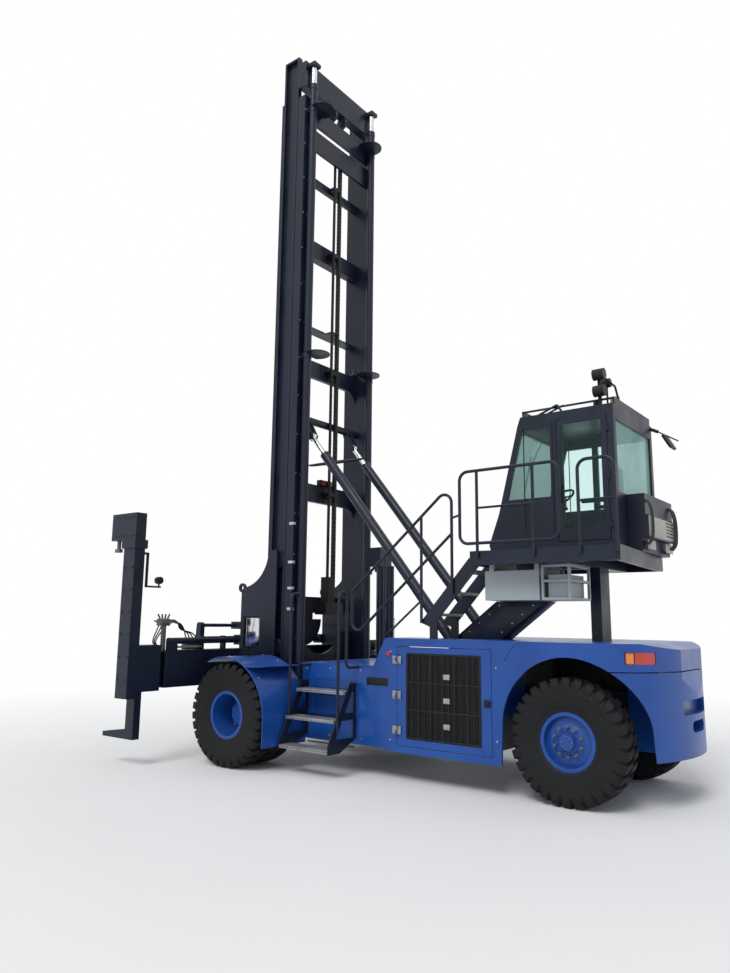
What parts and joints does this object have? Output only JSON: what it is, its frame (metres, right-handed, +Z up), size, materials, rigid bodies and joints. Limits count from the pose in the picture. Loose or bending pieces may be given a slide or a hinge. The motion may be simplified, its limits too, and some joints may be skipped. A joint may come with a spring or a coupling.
{
  "type": "electric empty container handler",
  "caption": "Lift truck with a tall two-stage mast, a side spreader with twistlocks for empty containers, twin front wheels, a steered rear axle and a raised cab.",
  "frame": {"origin": "on the ground below the middle of the machine's length and width", "axes": "+X towards the mast and spreader, +Y to the driver's left, +Z up"},
  "size_m": [7.14, 6.069, 11.43],
  "materials": {
    "blue_paint": "satin",
    "navy_paint": "satin",
    "grey_paint": "satin",
    "pale_paint": "satin",
    "cast_paint": "satin",
    "chromed": "polished",
    "rubber_black": "matt",
    "glazing": "clear",
    "cushion": "matt",
    "black_plastic": "matt",
    "amber_lens": "glossy",
    "red_lens": "glossy",
    "tread_metal": "satin",
    "battery_case": "matt"
  },
  "bodies": {
    "chassis": {"main_frame": "navy_paint", "front_axle": "navy_paint", "rear_axle": "navy_paint", "drive_motor": "grey_paint", "battery_packs": "battery_case", "deck": "blue_paint", "hood": "blue_paint", "rear_cover": "blue_paint", "counterweight": "cast_paint", "tail_lamps": "red_lens", "front_fenders": "blue_paint", "mirrors": "black_plastic", "step_frames": "navy_paint", "treads": "tread_metal", "handrails": "navy_paint", "cab_platform": "navy_paint", "platform_cabinets": "grey_paint", "cab_shell": "navy_paint", "cab_glass": "glazing", "cab_seat": "cushion", "cab_console": "black_plastic", "roof_guard": "navy_paint", "roof_lamps": "black_plastic", "beacon": "amber_lens", "cab_rear_units": "pale_paint", "accumulators": "navy_paint"},
    "mast": {"mast_uprights": "navy_paint", "mast_crossbars": "navy_paint", "lift_barrels": "navy_paint", "mast_pipes": "black_plastic"},
    "lift_mast": {"lift_uprights": "navy_paint", "lift_head": "navy_paint", "lift_rods": "chromed"},
    "carriage": {"carriage": "navy_paint"},
    "spreader": {"spreader_beam": "navy_paint"},
    "spreader_arm_left": {"spreader_arm_left": "navy_paint"},
    "spreader_arm_right": {"spreader_arm_right": "navy_paint"},
    "twistlock_left": {"twistlock_left": "grey_paint"},
    "twistlock_right": {"twistlock_right": "grey_paint"},
    "tilt_barrels": {"tilt_barrels": "navy_paint"},
    "tilt_rods": {"tilt_rods": "chromed"},
    "front_wheels_left": {"front_tyres_left": "rubber_black", "front_rims_left": "blue_paint"},
    "front_wheels_right": {"front_tyres_right": "rubber_black", "front_rims_right": "blue_paint"},
    "knuckle_left": {"knuckle_left": "navy_paint"},
    "knuckle_right": {"knuckle_right": "navy_paint"},
    "rear_wheel_left": {"rear_tyre_left": "rubber_black", "rear_rim_left": "blue_paint"},
    "rear_wheel_right": {"rear_tyre_right": "rubber_black", "rear_rim_right": "blue_paint"},
    "cab_door": {"cab_door": "navy_paint", "cab_door_glass": "glazing"},
    "hood_door_left": {"hood_door_left": "blue_paint", "hood_grille_left": "black_plastic"},
    "hood_door_right": {"hood_door_right": "blue_paint", "hood_grille_right": "black_plastic"}
  },
  "joints": [
    {"name": "mast_tilt", "type": "hinge", "parent": "chassis", "child": "mast", "pos_m": [2.05, 0, 1.08], "axis": [0, 1, 0], "range_deg": [-4, 6]},
    {"name": "mast_lift", "type": "slide", "parent": "mast", "child": "lift_mast", "axis": [0, 0, 1], "range_m": [0, 8]},
    {"name": "carriage_lift", "type": "slide", "parent": "lift_mast", "child": "carriage", "axis": [0, 0, 1], "range_m": [0, 8]},
    {"name": "side_shift", "type": "slide", "parent": "carriage", "child": "spreader", "axis": [0, 1, 0], "range_m": [-0.6, 0.6]},
    {"name": "arm_left_slide", "type": "slide", "parent": "spreader", "child": "spreader_arm_left", "axis": [0, 1, 0], "range_m": [0, 3.066]},
    {"name": "arm_right_slide", "type": "slide", "parent": "spreader", "child": "spreader_arm_right", "axis": [0, -1, 0], "range_m": [0, 3.066]},
    {"name": "twistlock_left_turn", "type": "hinge", "parent": "spreader_arm_left", "child": "twistlock_left", "pos_m": [3.35, 2.927, 3], "axis": [0, 0, 1], "range_deg": [0, 90]},
    {"name": "twistlock_right_turn", "type": "hinge", "parent": "spreader_arm_right", "child": "twistlock_right", "pos_m": [3.35, -2.927, 3], "axis": [0, 0, 1], "range_deg": [0, 90]},
    {"name": "tilt_barrel_swing", "type": "hinge", "parent": "chassis", "child": "tilt_barrels", "pos_m": [-0.74, 0, 1.62], "axis": [0, 1, 0], "range_deg": [-5, 5]},
    {"name": "tilt_rod_slide", "type": "slide", "parent": "tilt_barrels", "child": "tilt_rods", "axis": [0.6326, 0, 0.7745], "range_m": [-0.2, 0.3]},
    {"name": "front_left_roll", "type": "hinge", "parent": "chassis", "child": "front_wheels_left", "pos_m": [2.01, 1.647, 0.685], "axis": [0, 1, 0], "continuous": true},
    {"name": "front_right_roll", "type": "hinge", "parent": "chassis", "child": "front_wheels_right", "pos_m": [2.01, -1.647, 0.685], "axis": [0, 1, 0], "continuous": true},
    {"name": "steer_left", "type": "hinge", "parent": "chassis", "child": "knuckle_left", "pos_m": [-2.49, 0.766, 0.685], "axis": [0, 0, 1], "range_deg": [-60, 60]},
    {"name": "steer_right", "type": "hinge", "parent": "chassis", "child": "knuckle_right", "pos_m": [-2.49, -0.766, 0.685], "axis": [0, 0, 1], "range_deg": [-60, 60]},
    {"name": "rear_left_roll", "type": "hinge", "parent": "knuckle_left", "child": "rear_wheel_left", "pos_m": [-2.49, 1.016, 0.685], "axis": [0, 1, 0], "continuous": true},
    {"name": "rear_right_roll", "type": "hinge", "parent": "knuckle_right", "child": "rear_wheel_right", "pos_m": [-2.49, -1.016, 0.685], "axis": [0, 1, 0], "continuous": true},
    {"name": "cab_door_hinge", "type": "hinge", "parent": "chassis", "child": "cab_door", "pos_m": [-2.92, 0.724, 3.6], "axis": [0, 0, 1], "range_deg": [0, 90]},
    {"name": "hood_door_left_hinge", "type": "hinge", "parent": "chassis", "child": "hood_door_left", "pos_m": [-0.293, 1.264, 1.045], "axis": [0, 0, 1], "range_deg": [-100, 0]},
    {"name": "hood_door_right_hinge", "type": "hinge", "parent": "chassis", "child": "hood_door_right", "pos_m": [-0.293, -1.264, 1.045], "axis": [0, 0, 1], "range_deg": [0, 100]}
  ],
  "couplings": [
    {"joint": "carriage_lift", "follows": "mast_lift", "ratio": 1},
    {"joint": "arm_right_slide", "follows": "arm_left_slide", "ratio": 1},
    {"joint": "twistlock_right_turn", "follows": "twistlock_left_turn", "ratio": 1},
    {"joint": "tilt_barrel_swing", "follows": "mast_tilt", "ratio": 0.672},
    {"joint": "tilt_rod_slide", "follows": "mast_tilt", "m_per_rad": 2.487},
    {"joint": "steer_right", "follows": "steer_left", "ratio": 1}
  ]
}
